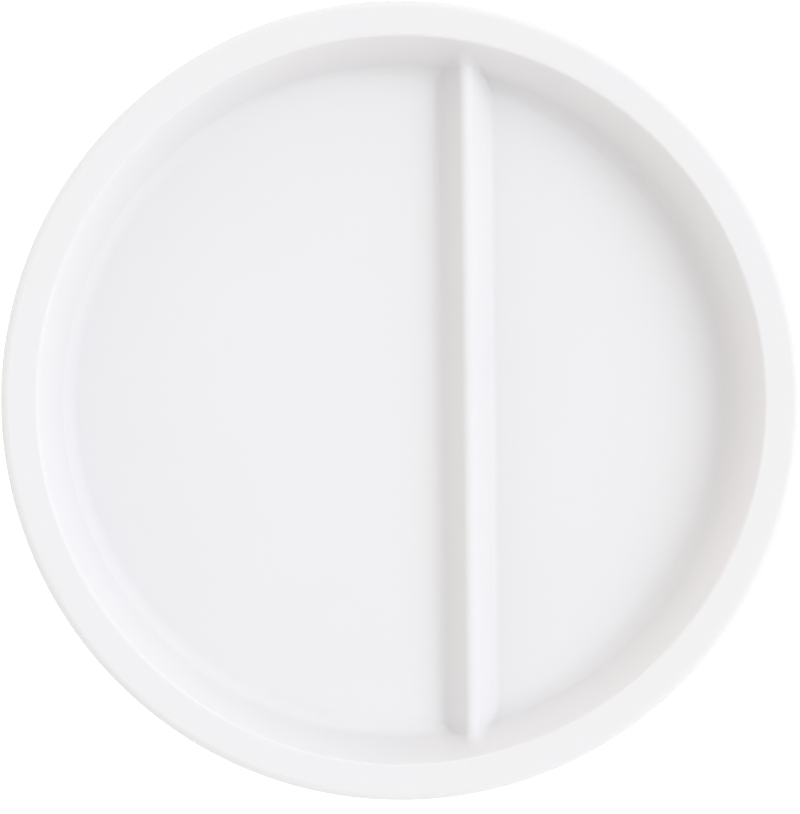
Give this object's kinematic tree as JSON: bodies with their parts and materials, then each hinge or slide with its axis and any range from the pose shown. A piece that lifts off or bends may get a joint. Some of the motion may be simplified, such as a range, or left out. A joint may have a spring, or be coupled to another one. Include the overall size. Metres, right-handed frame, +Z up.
{
  "type": "divided compartment plate",
  "caption": "Round white glazed plate with a flat rim, a stacking shoulder and an off-centre ridge that divides it into a large and a small compartment.",
  "frame": {"origin": "centre of the foot ring, on the surface that the plate stands on", "axes": "+Z up; the divider runs along Y and lies on the +X side of the centre"},
  "size_m": [0.23, 0.23, 0.025],
  "materials": {
    "white_glaze": "glossy white glaze",
    "foot_glaze": "glossy white glaze, the face that touches the table ground matt"
  },
  "bodies": {
    "root": {"rim": "white_glaze", "side_wall": "white_glaze", "foot_ring": "foot_glaze", "large_well_floor": "white_glaze", "small_well_floor": "white_glaze", "divider": "white_glaze"}
  },
  "joints": []
}
